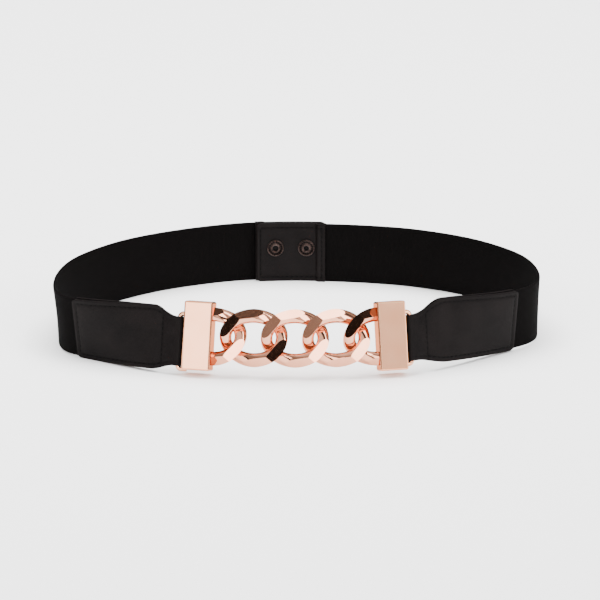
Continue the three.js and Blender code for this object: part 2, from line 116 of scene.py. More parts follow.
# Stitches: their lines' distance from the edges, the groove that they lie in, and the thread
STITCH_INSET = 2.6
CLOSURE_SEAM = 2.1
STITCH_PITCH = 3.1
GROOVE_DEPTH = 0.34
GROOVE_WIDTH = 0.6
BAIL_GROOVE_SHARE = 0.8
OPEN_GROOVE_SHARE = 0.7
OPEN_GROOVE_WIDTH = 0.5
STITCH_LENGTH = 2.1
STITCH_RADIUS = 0.25
STITCH_SPREAD = 1.25
STITCH_LIFT = 0.06

# The leather's edges: skived thin, and raised further in by the webbing
EDGE_ROUNDING = 0.22
SKIVE_DEPTH = 0.16
SKIVE_WIDTH = 1.3
RAISED = 0.17
RAISED_FROM = 3
RAISED_TO = 8

# Slow waves of the free webbing
WAVE = 0.22
WAVE_FADE = 25

# Spacing of the stations along the strips, rows across them, and turns of each fold
TAB_STATION = 0.8
CLOSURE_STATION = 0.75
WEB_STATION = 1.6
TAB_ROWS = 52
CLOSURE_ROWS = 50
WEB_ROWS = 24
TAB_FOLD_TURNS = 12
CLOSURE_FOLD_TURNS = 8

WRAP_RADIUS = BAIL_WIRE / 2 + FIT
WEB_GAP = WEB_THICKNESS / 2 + POCKET_FIT
TAB_HALF = WEB_GAP + LEATHER
CLOSURE_SHIFT = TAB_HALF + CLOSURE_GAP / 2
BAR_ALONG = (LINK_COUNT + 1) / 2 * LINK_PITCH + BAR_WIDTH / 2

# What differs between the sides: mirror, tab length, its headings, how far its middle hangs
# below the bar's, how far its top comes down to the bail and over what length, the lift and
# lean of its end, the webbing's lean and the loop's radii
SIDES = {
    "left": dict(sign=-1, tab=67.5, start=19, end=33, drop=2.5, neck=5.8, taper=14, lift=0,
                 lean=-9, side_lean=-4, half_width=142.8, back=133.0),
    "right": dict(sign=1, tab=74.5, start=28, end=40, drop=-0.5, neck=7.7, taper=20, lift=1,
                  lean=-6, side_lean=-1.5, half_width=146.2, back=123.0),
}


def mix(a, b, share):
    return a + (b - a) * share


def smooth(value, low, high):
    share = min(max((value - low) / (high - low), 0.0), 1.0)
    return share * share * (3 - 2 * share)


def spread(low, high, step):
    count = max(1, round((high - low) / step))
    return [mix(low, high, i / count) for i in range(count + 1)]


def heading(degrees):
    return Vector((math.cos(math.radians(degrees)), math.sin(math.radians(degrees))))


# Where things are

def front_frame(along):
    """Middle, tangent, up and face directions of a place on the leaning front arc."""
    yaw = along / FRONT_RADIUS
    lean = math.radians(FRONT_LEAN)
    tangent = Vector((math.cos(yaw), math.sin(yaw), 0))
    out = Vector((math.sin(yaw), -math.cos(yaw), 0))
    up = Vector((0, 0, math.cos(lean))) - out * math.sin(lean)
    rest = FRONT_LIFT + (BAR_HEIGHT * math.cos(lean) + BAR_DEPTH * math.sin(lean)) / 2
    origin = Vector((FRONT_RADIUS * math.sin(yaw), FRONT_RADIUS * (1 - math.cos(yaw)), rest))
    return origin, tangent, up, out


def front_matrix(along):
    """From a front piece's own millimetres to the frame's metres."""
    origin, tangent, up, _ = front_frame(along)
    return basis_matrix(origin, tangent, up, tangent.cross(up))


def basis_matrix(origin, x, y, z):
    turn = Matrix((x, y, z)).transposed().to_4x4()
    return Matrix.Scale(MM, 4) @ Matrix.Translation(origin + CENTRING) @ turn


def tab_root(side):
    """Where a tab's middle line meets the bail's leg, with the mirror taken off."""
    origin, tangent, up, out = front_frame(BAR_ALONG)
    return origin + tangent * (BAR_WIDTH / 2 + BAIL_REACH) - up * side["drop"], out


def bezier(points):
    line = []
    for i in range(CURVE_STEPS + 1):
        t = i / CURVE_STEPS
        level = list(points)
        while len(level) > 1:
            level = [a.lerp(b, t) for a, b in zip(level, level[1:])]
        line.append(level[0])
    return line


def back_curve(side, low, high):
    middle = LOOP_DEPTH - side["back"]
    angles = [mix(low, high, i / CURVE_STEPS) for i in range(CURVE_STEPS + 1)]
    return [Vector((side["half_width"] * math.cos(a), middle + side["back"] * math.sin(a)))
            for a in angles]


class Route:
    """The strap's middle line on one side in plan, drawn as the right one."""

    def __init__(self, side, other):
        self.side = side
        self.root, self.root_out = tab_root(side)
        start = self.root.xy
        bend = start + heading(side["start"]) * side["tab"] / 2
        end = bend + heading(side["end"]) * side["tab"] / 2
        widest = Vector((side["half_width"], LOOP_DEPTH - side["back"]))
        reach = (widest - end).length
        leave = end + heading(side["end"]) * reach * LEAVE_SHARE
        arrive = widest - heading(90) * reach * ARRIVE_SHARE
        past = (CLOSURE_LENGTH / 2 + CLOSURE_OFFSET + PAST_MIDDLE) / side["half_width"]
        quarter = math.pi / 2
        parts = [bezier([start, bend, end]), bezier([end, leave, arrive, widest]),
                 back_curve(side, 0, quarter), back_curve(other, quarter, quarter + past)]
        self.points = [parts[0][0]]
        self.lengths = [0.0]
        stops = []
        for part in parts:
            for point in part[1:]:
                self.lengths.append(self.lengths[-1] + (point - self.points[-1]).length)
                self.points.append(point)
            stops.append(self.lengths[-1])
        _, self.widest, self.middle, self.total = stops
        self.known = {}

    def spot(self, along):
        low, high = 0, len(self.lengths) - 1
        while high - low > 1:
            half = (low + high) // 2
            if self.lengths[half] <= along:
                low = half
            else:
                high = half
        span = self.lengths[high] - self.lengths[low]
        return self.points[low].lerp(self.points[high], (along - self.lengths[low]) / span)

    def frame(self, along):
        """Middle, up, out and tangent directions of the strap at a distance from the bail."""
        if along not in self.known:
            self.known[along] = self.work_out(along)
        return self.known[along]

    def work_out(self, along):
        side = self.side
        step = 0.5
        within = min(max(along, 0), self.total)
        near = min(max(within, step), self.total - step)
        ahead = (self.spot(near + step) - self.spot(near - step)).normalized()
        spot = self.spot(within) + ahead * (along - within)
        normal = Vector((ahead.y, -ahead.x, 0))
        held = 1 - smooth(along, 0, side["tab"])
        to_side = smooth(along, side["tab"], self.widest)
        to_back = smooth(along, self.widest, self.middle - CLOSURE_LENGTH / 2 - CLOSURE_OFFSET)
        lean = math.radians(mix(mix(side["lean"], side["side_lean"], to_side), 0, to_back))
        up = Vector((0, 0, 1)) - self.root_out * math.tan(math.radians(FRONT_LEAN)) * held
        up = (up - normal * math.tan(lean) * (1 - held)).normalized()
        tangent = Vector((ahead.x, ahead.y, 0))
        out = tangent.cross(up).normalized()
        edge = mix(LEATHER_HEIGHT, WEB_HEIGHT, to_back) * up.z + 2 * TAB_HALF * abs(math.sin(lean))
        rest = edge / 2 + mix(side["lift"], 0, to_back)
        height = mix(rest, self.root.z, held)
        return Vector((spot.x, spot.y, height)), up, out, tangent

    def point(self, along, off, height):
        """Metres in the frame of a place on the strap."""
        origin, up, out, _ = self.frame(along)
        place = origin + out * off + up * height
        place.x *= self.side["sign"]
        return (place + CENTRING) * MM

    def direction(self, along, run, rise):
        _, up, _, tangent = self.frame(along)
        way = tangent * run + up * rise
        way.x *= self.side["sign"]
        return way.normalized()

    def outward(self, along):
        out = self.frame(along)[2].copy()
        out.x *= self.side["sign"]
        return out

    @property
    def closure_start(self):
        return self.middle + self.side["sign"] * CLOSURE_OFFSET - CLOSURE_LENGTH / 2


# Modelling

def only(piece):
    bpy.ops.object.select_all(action="DESELECT")
    piece.select_set(True)
    bpy.context.view_layer.objects.active = piece


def started(name):
    """The primitive that was just added, under its own name."""
    piece = bpy.context.object
    piece.name = name
    piece.data.name = name
    only(piece)
    return piece


def finished_by(piece, kind, **settings):
    only(piece)
    modifier = piece.modifiers.new(kind, kind)
    for key, value in settings.items():
        setattr(modifier, key, value)
    bpy.ops.object.modifier_apply(modifier=modifier.name)


def edit(piece):
    only(piece)
    bpy.ops.object.mode_set(mode="EDIT")
    bpy.ops.mesh.select_all(action="SELECT")


def done():
    bpy.ops.object.mode_set(mode="OBJECT")


def shade(piece, degrees=35):
    only(piece)
    bpy.ops.object.shade_smooth_by_angle(angle=math.radians(degrees))


def flats_kept(piece, degrees=50):
    """Smooth over the narrow bevels, with the flats between them truly flat."""
    shade(piece, degrees)
    finished_by(piece, "WEIGHTED_NORMAL", keep_sharp=True, weight=100)


def joined(name, pieces):
    bpy.ops.object.select_all(action="DESELECT")
    for piece in pieces:
        piece.select_set(True)
    bpy.context.view_layer.objects.active = pieces[0]
    bpy.ops.object.join()
    return started(name)


def copied(piece, name):
    twin = piece.copy()
    twin.data = piece.data.copy()
    twin.name = name
    twin.data.name = name
    bpy.context.collection.objects.link(twin)
    return twin


def placed(piece, matrix):
    """Moves a piece's mesh, so that its object stays at the origin."""
    piece.data.transform(matrix)
    piece.data.update()
    return piece


def strip(name, stations, rows, place, thickness):
    """A sheet of leather or webbing from its flat cut. A station is a column of the cut, and
    place(station, share) gives a point, its place on the cut in metres, and how deep it lies
    in a stitched groove, from 0 to 1."""
    columns = len(stations) - 1
    bpy.ops.object.select_all(action="DESELECT")
    bpy.ops.mesh.primitive_grid_add(x_subdivisions=columns, y_subdivisions=rows, size=1)
    piece = started(name)
    cut = []
    # Groove depth, stored as the seam attribute: the leather's colour darkens with it as painted
    # shade
    seam = piece.data.attributes.new("seam", "FLOAT", "POINT")
    for vertex in piece.data.vertices:
        station = stations[round((vertex.co.x + 0.5) * columns)]
        vertex.co, flat, depth = place(station, vertex.co.y + 0.5)
        cut.append(flat)
        seam.data[vertex.index].value = depth
    layer = piece.data.uv_layers.active.data
    for loop in piece.data.loops:
        layer[loop.index].uv = cut[loop.vertex_index]
    finished_by(piece, "SOLIDIFY", thickness=thickness * MM, offset=0, use_even_offset=True)
    finished_by(piece, "BEVEL", width=EDGE_ROUNDING * MM, segments=2, limit_method="ANGLE",
                angle_limit=math.radians(50))
    shade(piece, 40)
    return piece


def corner_drop(from_end, radius):
    if from_end >= radius:
        return 0.0
    return radius - math.sqrt(max(radius ** 2 - (radius - from_end) ** 2, 0))


def ends_fine(low, high, step, corner):
    """Stations along a leaf, closer together on the rounded corner at its end."""
    shares = [0.7, 0.4, 0.22, 0.1, 0.03, 0.0]
    return spread(low, high - corner, step) + [high - corner * share for share in shares]


def groove(distance, width=GROOVE_WIDTH):
    """1 on a line of stitches, fading out to both sides."""
    return math.exp(-((distance / width) ** 2))


def seam_relief(edge):
    """How far leather rises at a distance from its edge: skived thin at the edge, drawn down
    along the stitches and full again over the webbing."""
    skive = SKIVE_DEPTH * (1 - smooth(edge, 0, SKIVE_WIDTH))
    rise = RAISED * smooth(edge, RAISED_FROM, RAISED_TO)
    return rise - GROOVE_DEPTH * groove(edge - STITCH_INSET) - skive


# Leather and webbing

def tab_gap(along):
    """Half the room between the two leaves: round the bail, closed at the seam, then open for
    the webbing."""
    pinch = mix(WRAP_RADIUS, SEAM_GAP / 2, smooth(along, 0, SEAM_FROM_BAIL))
    return mix(pinch, WEB_GAP, smooth(along, SEAM_FROM_BAIL, WEB_START - 1))


def tab_edges(route, along):
    """Heights of a front tab's top and bottom edge."""
    neck = 1 - smooth(along, NECK_LENGTH, NECK_LENGTH + route.side["taper"])
    drop = corner_drop(route.side["tab"] - along, TAB_CORNER)
    top = LEATHER_HEIGHT / 2 - route.side["neck"] * neck - drop
    return top, -LEATHER_HEIGHT / 2 + NECK_BOTTOM_RISE * neck + drop


def tab_edge(route, along, height):
    top, bottom = tab_edges(route, along)
    return min(top - height, height - bottom, route.side["tab"] - along)


def tab_relief(route, along, height):
    rise = seam_relief(tab_edge(route, along, height))
    rise -= BAIL_GROOVE_SHARE * GROOVE_DEPTH * groove(along - SEAM_FROM_BAIL)
    return rise * smooth(along, 1, 6)


def tab_groove(route, along, height):
    """How deep a place lies in the stitched grooves, which stop short of the bail."""
    around = groove(tab_edge(route, along, height) - STITCH_INSET)
    return max(around * smooth(along, 7, 10), groove(along - SEAM_FROM_BAIL))


def tab_stations(route):
    """Along, off and side of each column, from the outer end of the front leaf round the bail
    to the end of the back leaf, with the distance on the flat cut."""
    stops = ends_fine(-BAIL_DRAWN_IN, route.side["tab"], TAB_STATION, TAB_CORNER)
    front = [(a, tab_gap(a) + LEATHER / 2, 1) for a in reversed(stops)]
    back = [(a, -tab_gap(a) - LEATHER / 2, -1) for a in stops]
    fold = []
    for i in range(1, TAB_FOLD_TURNS):
        angle = math.pi * i / TAB_FOLD_TURNS
        radius = WRAP_RADIUS + LEATHER / 2
        fold.append((-BAIL_DRAWN_IN - radius * math.sin(angle), radius * math.cos(angle), 0))
    stations = []
    run = 0.0
    before = None
    for along, off, facing in front + fold + back:
        if before:
            run += math.hypot(along - before[0], off - before[1])
        before = (along, off)
        stations.append((along, off, facing, run))
    return stations


def front_tab(name, route):
    def place(station, share):
        along, off, facing, run = station
        top, bottom = tab_edges(route, max(along, 0))
        height = mix(bottom, top, share)
        off += facing * tab_relief(route, along, height)
        depth = tab_groove(route, along, height) * abs(facing)
        return route.point(along, off, height), (run * MM, height * MM), depth

    return strip(name, tab_stations(route), TAB_ROWS, place, LEATHER)


def web_shift(route, along):
    start = route.closure_start
    return -route.side["sign"] * CLOSURE_SHIFT * smooth(along, start - SHIFT_RUN, start)


def webbing_band(name, route):
    end = route.closure_start + CLOSURE_INSERT

    def place(along, share):
        height = mix(-WEB_HEIGHT / 2, WEB_HEIGHT / 2, share)
        free = smooth(along, route.side["tab"], route.side["tab"] + WAVE_FADE)
        free *= 1 - smooth(along, route.closure_start - WAVE_FADE, route.closure_start)
        wave = WAVE * math.sin(along * 0.11) * math.sin(height * 0.13 + along * 0.017)
        off = web_shift(route, along) + wave * free
        return route.point(along, off, height), (along * MM, height * MM), 0

    band = strip(name, spread(WEB_START, end, WEB_STATION), WEB_ROWS, place, WEB_THICKNESS)
    return band, end - WEB_START


def closure_edges(from_end):
    drop = corner_drop(max(from_end, 0.06), CLOSURE_CORNER)
    return WEB_HEIGHT / 2 - drop, -WEB_HEIGHT / 2 + drop


def closure_far_off(along, slot_end):
    open_share = 1 - smooth(along, slot_end, slot_end + CLOSURE_TAPER)
    return CLOSURE_GAP / 2 + 1.5 * LEATHER + mix(SEAM_GAP, 2 * WEB_GAP, open_share)


def closure_relief(edge, along, start):
    """Sinks at the stitches on the three closed edges and across the open end."""
    across = groove(along - start - CLOSURE_SEAM, OPEN_GROOVE_WIDTH)
    return seam_relief(edge) - OPEN_GROOVE_SHARE * GROOVE_DEPTH * across


def closure_tab(name, route):
    start = route.closure_start
    free = start + CLOSURE_LENGTH
    fold_radius = SEAM_GAP / 2 + LEATHER / 2
    fold_at = free - fold_radius - LEATHER / 2
    slot_end = start + CLOSURE_INSERT + FIT
    stops = ends_fine(start, fold_at, CLOSURE_STATION, CLOSURE_CORNER)
    near = [(a, CLOSURE_GAP / 2 + LEATHER / 2, 0) for a in stops]
    fold = []
    for i in range(1, CLOSURE_FOLD_TURNS):
        angle = math.pi * i / CLOSURE_FOLD_TURNS
        middle = CLOSURE_GAP / 2 + LEATHER / 2 + fold_radius
        fold.append((fold_at + fold_radius * math.sin(angle),
                     middle - fold_radius * math.cos(angle), 0))
    far = [(a, closure_far_off(a, slot_end), 1) for a in reversed(stops)]

    def place(station, share):
        along, off, facing = station
        top, bottom = closure_edges(free - along)
        height = mix(bottom, top, share)
        edge = min(top - height, height - bottom, free - along)
        off += facing * closure_relief(edge, along, start)
        depth = facing * max(groove(edge - STITCH_INSET), groove(along - start - CLOSURE_SEAM))
        run = along if facing == 0 else 2 * free - along
        point = route.point(along, -route.side["sign"] * off, height)
        return point, (run * MM, height * MM), depth

    return strip(name, near + fold + far, CLOSURE_ROWS, place, LEATHER)


# Stitches

def loose_stitch():
    bpy.ops.object.select_all(action="DESELECT")
    bpy.ops.mesh.primitive_uv_sphere_add(segments=8, ring_count=6, radius=1)
    piece = started("stitch")
    for vertex in piece.data.vertices:
        vertex.co = (vertex.co.z * STITCH_LENGTH / 2, vertex.co.x * STITCH_RADIUS * STITCH_SPREAD,
                     vertex.co.y * STITCH_RADIUS)
    return piece


def even_points(line, pitch):
    """Points a pitch apart along a polyline, each with the line's direction there."""
    found = []
    left = pitch / 2
    for (a, b) in zip(line, line[1:]):
        span = math.dist(a, b)
        while left <= span:
            share = left / span
            spot = (mix(a[0], b[0], share), mix(a[1], b[1], share))
            found.append((spot, ((b[0] - a[0]) / span, (b[1] - a[1]) / span)))
            left += pitch
        left -= span
    return found


def sewn(name, route, lines, off_at):
    """One piece of thread: a stitch at each point of the lines, which are (along, height)."""
    model = loose_stitch()
    stitches = []
    for line in lines:
        for (along, height), (run, rise) in even_points(line, STITCH_PITCH):
            off, facing = off_at(along, height)
            way = route.direction(along, run, rise)
            out = route.outward(along) * facing
            across = out.cross(way).normalized()
            place = route.point(along, off, height)
            turn = Matrix((way, across, way.cross(across))).transposed().to_4x4()
            matrix = Matrix.Translation(place) @ turn @ Matrix.Scale(MM, 4)
            stitches.append(placed(copied(model, name), matrix))
    bpy.data.objects.remove(model)
    piece = joined(name, stitches)
    shade(piece, 60)
    return piece


def tab_outline(route):
    """The stitch line along a front tab's bottom, end and top, then the seam by the bail."""
    length = route.side["tab"]
    end = length - STITCH_INSET
    low = [(a, tab_edges(route, a)[1] + STITCH_INSET) for a in spread(SEAM_FROM_BAIL, end - 1, 1)]
    high = [(a, tab_edges(route, a)[0] - STITCH_INSET) for a in spread(SEAM_FROM_BAIL, end - 1, 1)]
    side = [(end, low[-1][1] + 1), (end, high[-1][1] - 1)]
    return [low + side + high[::-1], [low[0], high[0]]]


def tab_stitches(name, route):
    lines = tab_outline(route)
    leaves = []
    for facing in (1, -1):
        def off_at(along, height, facing=facing):
            rise = tab_gap(along) + LEATHER + tab_relief(route, along, height) + STITCH_LIFT
            return facing * rise, facing

        leaves.append(sewn(name, route, lines, off_at))
    return joined(name, leaves)


def closure_stitches(name, route):
    start = route.closure_start
    free = start + CLOSURE_LENGTH
    slot_end = start + CLOSURE_INSERT + FIT
    high = WEB_HEIGHT / 2 - STITCH_INSET
    end = free - STITCH_INSET
    across = start + CLOSURE_SEAM
    around = [(start + 1, -high), (end - 1, -high), (end, 1 - high), (end, high - 1),
              (end - 1, high), (start + 1, high)]
    lines = [around, [(across, -high), (across, high)]]
    facing = -route.side["sign"]

    def off_at(along, height):
        edge = min(WEB_HEIGHT / 2 - abs(height), free - along)
        rise = closure_far_off(along, slot_end) + LEATHER / 2
        rise += closure_relief(edge, along, start) + STITCH_LIFT
        return facing * rise, facing

    return sewn(name, route, lines, off_at)


# Chain and bars

def wire_middle(t):
    return Vector((LINK_HALF_LENGTH * math.cos(t), LINK_HALF_HEIGHT * math.sin(t),
                   -LINK_SADDLE * math.sin(2 * t)))


def cut_plane(t, roll, depth):
    """A flat ground on the link's face at angle t, rolled outwards, at a depth from the
    wire's middle."""
    step = 0.01
    way = (wire_middle(t + step) - wire_middle(t - step)).normalized()
    outward = Vector((LINK_HALF_HEIGHT * math.cos(t), LINK_HALF_LENGTH * math.sin(t), 0))
    face = outward.cross(way).normalized()
    outward = way.cross(face)
    normal = face * math.cos(roll) + outward * math.sin(roll)
    return wire_middle(t) + normal * depth, normal


def ground_off(point, normal):
    """Cuts off what lies outside a plane and closes the cut."""
    bpy.ops.mesh.select_all(action="SELECT")
    bpy.ops.mesh.bisect(plane_co=point, plane_no=normal, use_fill=True, clear_outer=True)


def raw_link(name):
    bpy.ops.object.select_all(action="DESELECT")
    bpy.ops.mesh.primitive_torus_add(major_segments=LINK_STEPS, minor_segments=WIRE_SIDES,
                                     major_radius=1, minor_radius=0.3)
    piece = started(name)
    slope = 2 * LINK_SADDLE / (LINK_HALF_LENGTH * LINK_HALF_HEIGHT)
    for vertex in piece.data.vertices:
        t = math.atan2(vertex.co.y, vertex.co.x)
        turn = math.atan2(vertex.co.z, vertex.co.xy.length - 1)
        width = mix(WIRE_WIDTH, WIRE_END_WIDTH, math.cos(t) ** 2) / 2
        u = width * math.copysign(abs(math.cos(turn)) ** WIRE_FULLNESS, math.cos(turn))
        v = WIRE_HALF_DEPTH * math.copysign(abs(math.sin(turn)) ** WIRE_FULLNESS, math.sin(turn))
        outward = Vector((LINK_HALF_HEIGHT * math.cos(t), LINK_HALF_LENGTH * math.sin(t)))
        spot = wire_middle(t).xy + outward.normalized() * u
        vertex.co = (spot.x, spot.y, v - slope * spot.x * spot.y)
    edit(piece)
    for degrees, roll, depth in FLATS:
        point, normal = cut_plane(math.radians(degrees), math.radians(roll), depth)
        for quarter in (Matrix.Identity(3), Matrix.Diagonal((-1, -1, 1)),
                        Matrix.Diagonal((1, -1, -1)), Matrix.Diagonal((-1, 1, -1))):
            ground_off(quarter @ point, quarter @ normal)
    done()
    return piece


def finished_link(piece, matrix):
    finished_by(piece, "BEVEL", width=LINK_ROUNDING, segments=2, limit_method="ANGLE",
                angle_limit=math.radians(17), use_clamp_overlap=True)
    placed(piece, matrix)
    flats_kept(piece)
    return piece


def curb_link(name, along):
    return finished_link(raw_link(name), front_matrix(along))


def half_link(name, side):
    """Cast on the bar's inner side: half a link whose arms run into the bar."""
    piece = raw_link(name)
    edit(piece)
    sign = side["sign"]
    ground_off(Vector((HALF_LINK_ROOT * sign, 0, 0)), Vector((sign, 0, 0)))
    done()
    inner = Matrix.Translation((-sign * BAR_WIDTH / 2, 0, 0))
    return finished_link(piece, front_matrix(sign * BAR_ALONG) @ inner)


def bar_block(name):
    bpy.ops.object.select_all(action="DESELECT")
    bpy.ops.mesh.primitive_cube_add(size=1, scale=(BAR_WIDTH, BAR_HEIGHT, BAR_DEPTH))
    piece = started(name)
    bpy.ops.object.transform_apply(location=True, rotation=True, scale=True)
    edit(piece)
    bpy.ops.mesh.bevel(offset=BAR_CHAMFER, offset_type="OFFSET", segments=1)
    done()
    finished_by(piece, "BEVEL", width=BAR_ROUNDING, segments=2, limit_method="ANGLE",
                angle_limit=math.radians(30))
    return piece


def bail_wire(name, side):
    """A round wire loop, open towards the bar, bent from a circle that is drawn along."""
    top = LEATHER_HEIGHT / 2 - side["neck"] - side["drop"] + FIT + BAIL_WIRE / 2
    bottom = -LEATHER_HEIGHT / 2 + NECK_BOTTOM_RISE - side["drop"] - FIT - BAIL_WIRE / 2
    sign = side["sign"]
    root = sign * (BAR_WIDTH / 2 - BAIL_ROOT)
    leg = sign * (BAR_WIDTH / 2 + BAIL_REACH - BAIL_DRAWN_IN)
    bend = leg - sign * BAIL_CORNER
    line = [(root, top)]
    for i in range(BAIL_BEND_STEPS + 1):
        angle = math.pi / 2 * i / BAIL_BEND_STEPS
        line.append((bend + sign * BAIL_CORNER * math.sin(angle),
                     top - BAIL_CORNER * (1 - math.cos(angle))))
    for i in range(BAIL_BEND_STEPS + 1):
        angle = math.pi / 2 * i / BAIL_BEND_STEPS
        line.append((leg - sign * BAIL_CORNER * (1 - math.cos(angle)),
                     bottom + BAIL_CORNER * (1 - math.sin(angle))))
    line.append((root, bottom))
    bpy.ops.object.select_all(action="DESELECT")
    bpy.ops.mesh.primitive_cylinder_add(vertices=BAIL_SIDES, radius=1, depth=len(line) - 1)
    piece = started(name)
    edit(piece)
    bpy.ops.mesh.select_mode(type="EDGE")
    bpy.ops.mesh.select_all(action="DESELECT")
    done()
    for edge in piece.data.edges:
        ends = [piece.data.vertices[i].co.z for i in edge.vertices]
        edge.select = abs(ends[0] - ends[1]) > 0.5
    bpy.ops.object.mode_set(mode="EDIT")
    bpy.ops.mesh.subdivide(number_cuts=len(line) - 2)
    done()
    for vertex in piece.data.vertices:
        i = round(vertex.co.z + (len(line) - 1) / 2)
        before, after = line[max(i - 1, 0)], line[min(i + 1, len(line) - 1)]
        way = Vector((after[0] - before[0], after[1] - before[1])).normalized()
        side_on = Vector((way.y, -way.x)) * vertex.co.x * BAIL_WIRE / 2
        vertex.co = (line[i][0] + side_on.x, line[i][1] + side_on.y,
                     vertex.co.y * BAIL_WIRE / 2)
    edit(piece)
    bpy.ops.mesh.normals_make_consistent(inside=False)
    done()
    return piece


def end_bar(name, side):
    piece = joined(name, [bar_block(name), bail_wire(name, side)])
    # Painted shade: the bar block's side faces are marked to take a deeper tone, so that they
    # don't mirror the pale floor as white
    flank_shade = piece.data.attributes.new("flank_shade", "FLOAT", "FACE")
    for face in piece.data.polygons:
        on_block = abs(face.center.x) < BAR_WIDTH / 2 + FIT
        flank_shade.data[face.index].value = float(on_block and abs(face.normal.x) > 0.9)
    placed(piece, front_matrix(side["sign"] * BAR_ALONG))
    flats_kept(piece)
    return piece


# Press studs

def turned(name, profile, sides):
    """A turned piece drawn out ring by ring from a circle: profile is (radius, height)."""
    bpy.ops.object.select_all(action="DESELECT")
    radius, height = profile[0]
    bpy.ops.mesh.primitive_circle_add(vertices=sides, radius=radius, fill_type="NGON",
                                      location=(0, 0, height))
    piece = started(name)
    bpy.ops.object.transform_apply(location=True, rotation=False, scale=False)
    edit(piece)
    for next_radius, next_height in profile[1:]:
        share = next_radius / radius
        bpy.ops.mesh.extrude_region_move(
            TRANSFORM_OT_translate={"value": (0, 0, next_height - height)})
        bpy.ops.transform.resize(value=(share, share, 1), center_override=(0, 0, next_height))
        radius, height = next_radius, next_height
    bpy.ops.mesh.select_all(action="SELECT")
    bpy.ops.mesh.normals_make_consistent(inside=False)
    done()
    return piece


def closure_matrix(route, position):
    """Local z points into the loop, and z = 0 lies between the two tabs."""
    sign = route.side["sign"]
    along = route.middle + sign * (CLOSURE_OFFSET + position)
    origin, up, out, _ = route.frame(along)
    place = origin + up * STUD_RISE
    place.x *= sign
    inward = -out
    inward.x *= sign
    across = up.cross(inward).normalized()
    return basis_matrix(place, across, up, inward)


# Radial ridges pressed in the ring between two radii, the heights above its seat between which
# painted shade darkens their hollows, and each stud's eye
STUD_RIDGES = 16
STUD_RIDGE = 0.2
RIDGED_FROM, RIDGED_TO = 2.9, 4.7
HOLLOW_SHADE_FROM, HOLLOW_SHADE_TO = 0.45, 1.05
STUD_EYES = (1.6, 1.8)
TAB_FAR = CLOSURE_GAP / 2 + 2 * LEATHER + SEAM_GAP


def press_stud(name, matrix, eye):
    """The ring that shows inside the loop: a pressed rim with radial ridges round an open eye."""
    seat = TAB_FAR + 0.05
    profile = [(0.3, -2.4), (2.2, -2.4), (2.5, -1.9), (2.4, 0.2), (2.4, seat), (5.0, seat),
               (5.2, seat + 0.25), (5.2, seat + 0.85), (5.05, seat + 1.15), (4.8, seat + 1.28),
               (4.5, seat + 1.15), (4.25, seat + 0.7), (4.0, seat + 0.45), (3.6, seat + 0.5),
               (3.1, seat + 0.8), (2.7, seat + 1.25), (2.45, seat + 1.42),
               (eye + 0.22, seat + 1.38), (eye, seat + 1.05), (eye, 1.2), (0.3, 1.0)]
    piece = turned(name, profile, sides=96)
    # Painted shade: darker low in the ridged ring's recess and inside the eye
    hollow_shade = piece.data.attributes.new("hollow_shade", "FLOAT", "POINT")
    for vertex in piece.data.vertices:
        radius = vertex.co.xy.length
        if RIDGED_FROM < radius < RIDGED_TO and vertex.co.z > seat + 0.3:
            angle = math.atan2(vertex.co.y, vertex.co.x)
            vertex.co.z += STUD_RIDGE * math.sin(STUD_RIDGES * angle)
            depth = 1 - smooth(vertex.co.z - seat, HOLLOW_SHADE_FROM, HOLLOW_SHADE_TO)
            hollow_shade.data[vertex.index].value = depth
        elif radius < eye + 0.1 and vertex.co.z < seat + 1.1:
            hollow_shade.data[vertex.index].value = 1.0
    placed(piece, matrix)
    shade(piece, 38)
    return piece


def socket_cap(name, matrix):
    """The barrel in the outer tab with the domed cap that shows outside."""
    seat = -TAB_FAR - 0.05
    profile = [(0.3, -2.75), (2.8, -2.7), (2.9, -0.5), (4.0, -0.5), (4.0, seat), (6.0, seat),
               (6.2, seat - 0.2), (6.2, seat - 0.45), (6.05, seat - 0.7), (5.5, seat - 0.98),
               (4.6, seat - 1.25), (3.4, seat - 1.45), (2.0, seat - 1.57), (0.3, seat - 1.6)]
    piece = turned(name, profile, sides=72)
    placed(piece, matrix)
    shade(piece, 38)
    return piece


# Materials

class Value:
    """A shader socket that is reckoned with as a number."""

    def __init__(self, shader, socket):
        self.shader = shader
        self.socket = socket

    def math(self, operation, *inputs):
        node = self.shader.node("ShaderNodeMath", {"operation": operation},
                                dict(enumerate(inputs)))
        return Value(self.shader, node.outputs[0])

    def __add__(self, other):
        return self.math("ADD", self, other)

    def __radd__(self, other):
        return self.math("ADD", other, self)

    def __sub__(self, other):
        return self.math("SUBTRACT", self, other)

    def __rsub__(self, other):
        return self.math("SUBTRACT", other, self)

    def __mul__(self, other):
        return self.math("MULTIPLY", self, other)

    def __rmul__(self, other):
        return self.math("MULTIPLY", other, self)

    def sin(self):
        return self.math("SINE", self)

    def abs(self):
        return self.math("ABSOLUTE", self)

    def clamped(self, low, high, way="LINEAR"):
        return self.shader.value("ShaderNodeMapRange", "Result", {"interpolation_type": way},
                                 {"Value": self, "From Min": low, "From Max": high})

    def between(self, low, high, soft):
        """1 from low to high, with soft sides."""
        rise = self.clamped(low - soft, low + soft, "SMOOTHSTEP")
        return rise * (1 - self.clamped(high - soft, high + soft, "SMOOTHSTEP"))


class Nodes:
    """A node tree that is filled through one call."""

    def __init__(self, tree):
        self.tree = tree

    def node(self, kind, settings=None, inputs=None):
        node = self.tree.nodes.new(kind)
        for key, value in (settings or {}).items():
            setattr(node, key, value)
        self.feed(node, inputs or {})
        return node

    def feed(self, node, inputs):
        for key, value in inputs.items():
            socket = node.inputs[key]
            if isinstance(value, Value):
                value = value.socket
            if isinstance(value, bpy.types.NodeSocket):
                self.tree.links.new(value, socket)
            else:
                socket.default_value = value

    def value(self, kind, output, settings=None, inputs=None):
        return Value(self, self.node(kind, settings, inputs).outputs[output])


